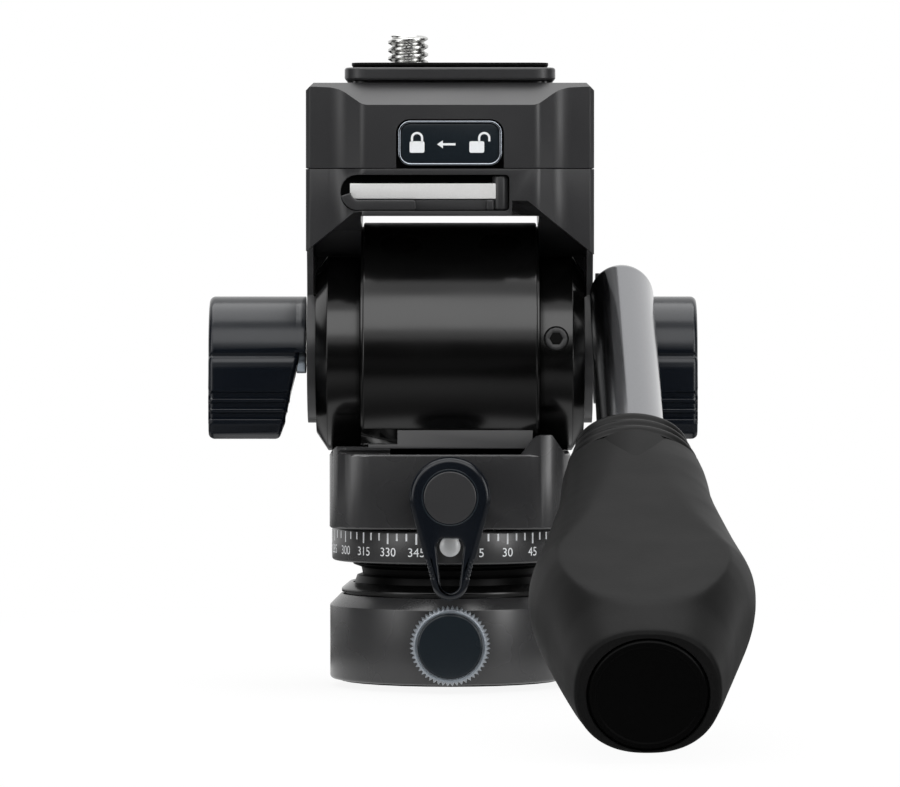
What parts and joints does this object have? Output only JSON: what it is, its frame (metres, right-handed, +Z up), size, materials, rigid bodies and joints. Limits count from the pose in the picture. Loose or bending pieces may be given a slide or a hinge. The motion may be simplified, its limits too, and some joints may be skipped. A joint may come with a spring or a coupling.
{
  "type": "fluid video head",
  "caption": "Compact black fluid video head with levelling ball base, pan scale, tilt barrel, quick-release clamp with lock button, side lock levers and an angled rubber-grip pan handle.",
  "frame": {"origin": "On the pan axis, in the plane of the base's underside", "axes": "+Z is up along the pan axis, towards the camera plate. X lies along the tilt axis, with the handle on the +X side. The operator and the handle are towards -Y."},
  "size_m": [0.0804, 0.1783, 0.1017],
  "materials": {
    "anodised_black": "black anodised aluminium with a satin sheen",
    "gloss_blue_black": "blue-black anodised aluminium, semi-gloss",
    "rubber": "matt black rubber",
    "moulded_black": "black moulded plastic",
    "steel": "machined steel",
    "grey_tube": "polished dark grey tube",
    "brass": "bare brass",
    "acetal": "natural acetal"
  },
  "bodies": {
    "base": {"base_housing": "anodised_black", "base_pad": "rubber", "tripod_thread_insert": "steel", "ball_collar": "anodised_black", "knob_bush": "brass"},
    "knob": {"levelling_knob": "gloss_blue_black", "levelling_knob_face": "gloss_blue_black"},
    "slip": {"ball_slip_ring": "acetal"},
    "level": {"levelling_ball": "anodised_black", "pan_shaft": "steel", "pan_damping_disc": "acetal", "pan_wave_spring": "steel", "pan_lock_drum": "steel", "scale_ring": "anodised_black", "zero_stud": "steel"},
    "pan": {"pan_housing": "anodised_black", "pan_bearing": "steel", "pan_lock_shoe": "brass", "barrel_bolt_left": "steel", "barrel_bolt_right": "steel", "tilt_barrel": "anodised_black", "tilt_bearing_left": "steel", "tilt_bearing_right": "steel", "fluid_damper_left": "acetal", "fluid_damper_right": "acetal", "counterbalance_spring": "steel"},
    "pan_lever": {"pan_lock_lever": "gloss_blue_black", "pan_lock_cap": "moulded_black"},
    "tilt": {"tilt_yoke": "anodised_black", "tilt_shaft": "steel", "release_pin": "steel", "clamp_body": "anodised_black", "hub_ring_left": "anodised_black", "hub_ring_right": "anodised_black", "ring_set_screw": "anodised_black", "clamp_bolt_front_left": "steel", "clamp_bolt_front_right": "steel", "clamp_bolt_rear_left": "steel", "clamp_bolt_rear_right": "steel", "quick_release_plate": "anodised_black", "plate_pad": "rubber"},
    "release": {"release_lever": "steel"},
    "jaw": {"clamp_jaw": "steel"},
    "button": {"lock_button": "anodised_black", "button_spring": "steel"},
    "screw": {"camera_screw": "steel"},
    "tilt_lever": {"tilt_lock_lever": "moulded_black", "tilt_lock_lever_cap": "moulded_black"},
    "clamp_lever": {"handle_clamp_lever": "moulded_black", "handle_clamp_lever_cap": "moulded_black"},
    "handle": {"handle_lug": "anodised_black", "handle_rod": "grey_tube", "grip_core": "moulded_black", "grip_collar": "moulded_black", "grip_sleeve": "rubber", "grip_end_cap": "moulded_black"}
  },
  "joints": [
    {"name": "levelling_knob_turn", "type": "hinge", "parent": "base", "child": "knob", "pos_m": [0, -0.01895, 0.0066], "axis": [0, -1, 0], "range_deg": [-270, 45]},
    {"name": "level_pitch", "type": "hinge", "parent": "base", "child": "slip", "pos_m": [0, 0, 0.011], "axis": [1, 0, 0], "range_deg": [-4, 4]},
    {"name": "level_roll", "type": "hinge", "parent": "slip", "child": "level", "pos_m": [0, 0, 0.011], "axis": [0, 1, 0], "range_deg": [-4, 4]},
    {"name": "pan_turn", "type": "hinge", "parent": "level", "child": "pan", "pos_m": [0, 0, 0.0246], "axis": [0, 0, 1], "continuous": true},
    {"name": "pan_lock_turn", "type": "hinge", "parent": "pan", "child": "pan_lever", "pos_m": [0, -0.0189, 0.0298], "axis": [0, -1, 0], "range_deg": [-30, 90]},
    {"name": "tilt_turn", "type": "hinge", "parent": "pan", "child": "tilt", "pos_m": [0, 0, 0.0516], "axis": [1, 0, 0], "range_deg": [-60, 70]},
    {"name": "tilt_lock_turn", "type": "hinge", "parent": "tilt", "child": "tilt_lever", "pos_m": [-0.02365, 0, 0.0516], "axis": [1, 0, 0], "range_deg": [-20, 90]},
    {"name": "handle_angle", "type": "hinge", "parent": "tilt", "child": "handle", "pos_m": [0.0227, 0, 0.0516], "axis": [1, 0, 0], "range_deg": [-15, 40]},
    {"name": "handle_clamp_turn", "type": "hinge", "parent": "tilt", "child": "clamp_lever", "pos_m": [0.02735, 0, 0.0516], "axis": [1, 0, 0], "range_deg": [-20, 90]},
    {"name": "release_swing", "type": "hinge", "parent": "tilt", "child": "release", "pos_m": [0.00785, -0.0192, 0.07685], "axis": [0, 0, 1], "range_deg": [0, 75]},
    {"name": "jaw_move", "type": "slide", "parent": "tilt", "child": "jaw", "axis": [1, 0, 0], "range_m": [0, 0.0016]},
    {"name": "button_press", "type": "slide", "parent": "tilt", "child": "button", "axis": [0, 1, 0], "range_m": [0, 0.0012], "stiffness_N_per_m": 700, "springref_m": -0.0008},
    {"name": "camera_screw_turn", "type": "hinge", "parent": "tilt", "child": "screw", "pos_m": [-0.0066, 0, 0.0917], "axis": [0, 0, 1], "continuous": true}
  ],
  "couplings": [
    {"joint": "jaw_move", "follows": "release_swing", "m_per_rad": 0.00122}
  ]
}
